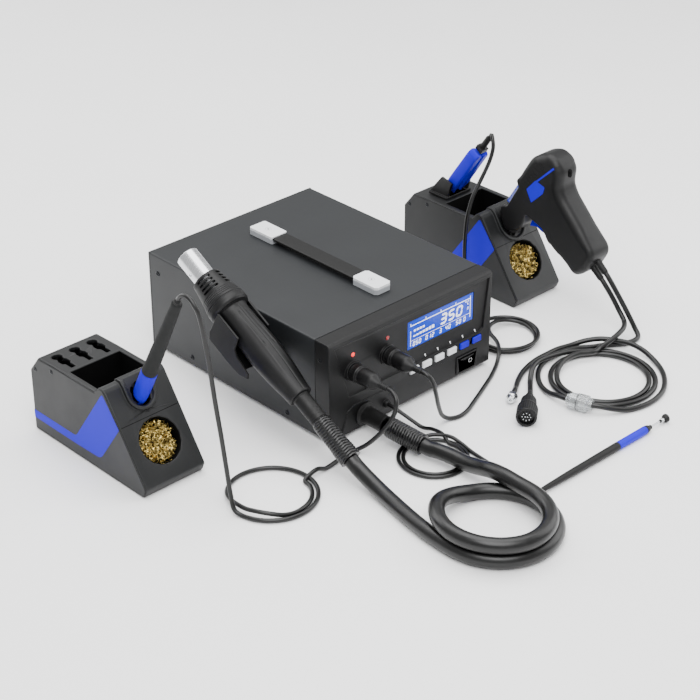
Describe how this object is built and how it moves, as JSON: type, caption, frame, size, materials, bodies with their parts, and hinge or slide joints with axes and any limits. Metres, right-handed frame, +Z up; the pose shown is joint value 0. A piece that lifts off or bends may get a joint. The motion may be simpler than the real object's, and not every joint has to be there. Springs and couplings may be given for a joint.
{
  "type": "hot air rework station",
  "caption": "Box-shaped hot air rework station with a cradled handpiece on a coiled hose, soldering iron, vacuum pen, hot tweezers and desoldering gun on sloped holders.",
  "frame": {"origin": "on the bench, under the middle of the space that the rigid pieces take up, cords left out", "axes": "+Z up, +Y from the front panel to the rear panel, +X to the right as the user faces the front panel"},
  "size_m": [0.598, 0.5491, 0.216],
  "materials": {
    "case_paint": "charcoal powder coat",
    "black_moulding": "fine grained black ABS",
    "grey_moulding": "satin dark grey ABS",
    "blue_moulding": "satin blue ABS",
    "white_moulding": "satin white ABS",
    "display_lens": "backlit blue display behind a clear lens",
    "black_rubber": "matt rubber",
    "hose_rubber": "smooth silicone hose and cord jacket",
    "bright_steel": "bright stainless steel",
    "nickel": "nickel plated brass",
    "brass_wool": "curled brass turnings",
    "ceramic": "ceramic heater core",
    "board_green": "glass-epoxy board",
    "core_iron": "laminated iron and copper winding",
    "pump_metal": "diaphragm air pump body",
    "clear_blue": "clear blue filter tube",
    "clear_white": "clear filter housing"
  },
  "bodies": {
    "station": {"case_cover": "case_paint", "base_tray": "case_paint", "rear_panel": "case_paint", "mains_inlet": "black_moulding", "front_bezel": "black_moulding", "display_window": "display_lens", "switch_frame": "black_moulding", "hose_port": "black_rubber", "strap_cap_front": "white_moulding", "strap_cap_rear": "white_moulding", "carry_strap": "black_rubber", "control_board": "board_green", "transformer": "core_iron", "air_pump": "pump_metal", "gun_cradle": "black_moulding", "air_hose": "hose_rubber", "spring_station": "black_rubber", "stand_1_shell": "grey_moulding", "stand_1_wool": "brass_wool", "stand_2_shell": "grey_moulding", "stand_2_wool": "brass_wool", "iron_lead": "hose_rubber", "iron_plug": "black_moulding", "pen_body": "blue_moulding", "pen_hose": "hose_rubber", "tweezer_hinge": "black_rubber", "tweezer_cradle": "black_moulding", "tweezer_lead": "hose_rubber", "tweezer_plug": "black_moulding", "desolder_shell": "black_moulding", "desolder_filter_tube": "clear_blue", "desolder_cable": "hose_rubber", "desolder_air_line": "hose_rubber", "desolder_plug": "black_moulding", "inline_filter": "clear_white", "luer_fitting": "nickel", "foot_1": "black_rubber", "foot_2": "black_rubber", "foot_3": "black_rubber", "foot_4": "black_rubber"},
    "handpiece": {"heater_tube": "bright_steel", "heater_core": "ceramic", "vent_collar": "black_moulding", "handpiece_shell_left": "black_moulding", "handpiece_shell_right": "black_moulding", "hose_guard": "black_rubber"},
    "iron": {"iron_barrel": "bright_steel", "iron_grip": "blue_moulding", "iron_handle": "grey_moulding", "iron_lead_upper": "hose_rubber"},
    "tweezer_left": {"tweezer_arm_left": "blue_moulding"},
    "tweezer_right": {"tweezer_arm_right": "blue_moulding"},
    "trigger": {"desolder_trigger": "blue_moulding"},
    "rocker": {"power_rocker": "black_moulding"},
    "key_1": {"key_1": "white_moulding"},
    "key_2": {"key_2": "white_moulding"},
    "key_3": {"key_3": "white_moulding"},
    "key_4": {"key_4": "white_moulding"},
    "key_5": {"key_5": "blue_moulding"},
    "key_6": {"key_6": "blue_moulding"}
  },
  "joints": [
    {"name": "key_1_press", "type": "slide", "parent": "station", "child": "key_1", "axis": [0, 1, 0], "range_m": [0, 0.001], "stiffness_N_per_m": 200},
    {"name": "key_2_press", "type": "slide", "parent": "station", "child": "key_2", "axis": [0, 1, 0], "range_m": [0, 0.001], "stiffness_N_per_m": 200},
    {"name": "key_3_press", "type": "slide", "parent": "station", "child": "key_3", "axis": [0, 1, 0], "range_m": [0, 0.001], "stiffness_N_per_m": 200},
    {"name": "key_4_press", "type": "slide", "parent": "station", "child": "key_4", "axis": [0, 1, 0], "range_m": [0, 0.001], "stiffness_N_per_m": 200},
    {"name": "key_5_press", "type": "slide", "parent": "station", "child": "key_5", "axis": [0, 1, 0], "range_m": [0, 0.001], "stiffness_N_per_m": 200},
    {"name": "key_6_press", "type": "slide", "parent": "station", "child": "key_6", "axis": [0, 1, 0], "range_m": [0, 0.001], "stiffness_N_per_m": 200},
    {"name": "rocker_tilt", "type": "hinge", "parent": "station", "child": "rocker", "pos_m": [0.082, -0.0359, 0.0185], "axis": [-1, 0, 0], "range_deg": [0, 20]},
    {"name": "handpiece_lift", "type": "slide", "parent": "station", "child": "handpiece", "axis": [0, -0.481, 0.8767], "range_m": [0, 0.045]},
    {"name": "iron_lift", "type": "slide", "parent": "station", "child": "iron", "axis": [0, -0.4587, 0.8886], "range_m": [0, 0.055]},
    {"name": "tweezer_left_squeeze", "type": "hinge", "parent": "station", "child": "tweezer_left", "pos_m": [0.257, 0.11557, 0.15157], "axis": [0, -0.832, -0.5548], "range_deg": [0, 2.5], "stiffness_Nm_per_rad": 0.4},
    {"name": "tweezer_right_squeeze", "type": "hinge", "parent": "station", "child": "tweezer_right", "pos_m": [0.261, 0.11557, 0.15157], "axis": [0, 0.832, 0.5548], "range_deg": [0, 2.5], "stiffness_Nm_per_rad": 0.4},
    {"name": "trigger_pull", "type": "slide", "parent": "station", "child": "trigger", "axis": [0, -0.4, 0.9165], "range_m": [0, 0.003], "stiffness_N_per_m": 400}
  ],
  "couplings": [
    {"joint": "tweezer_right_squeeze", "follows": "tweezer_left_squeeze", "ratio": 1}
  ]
}
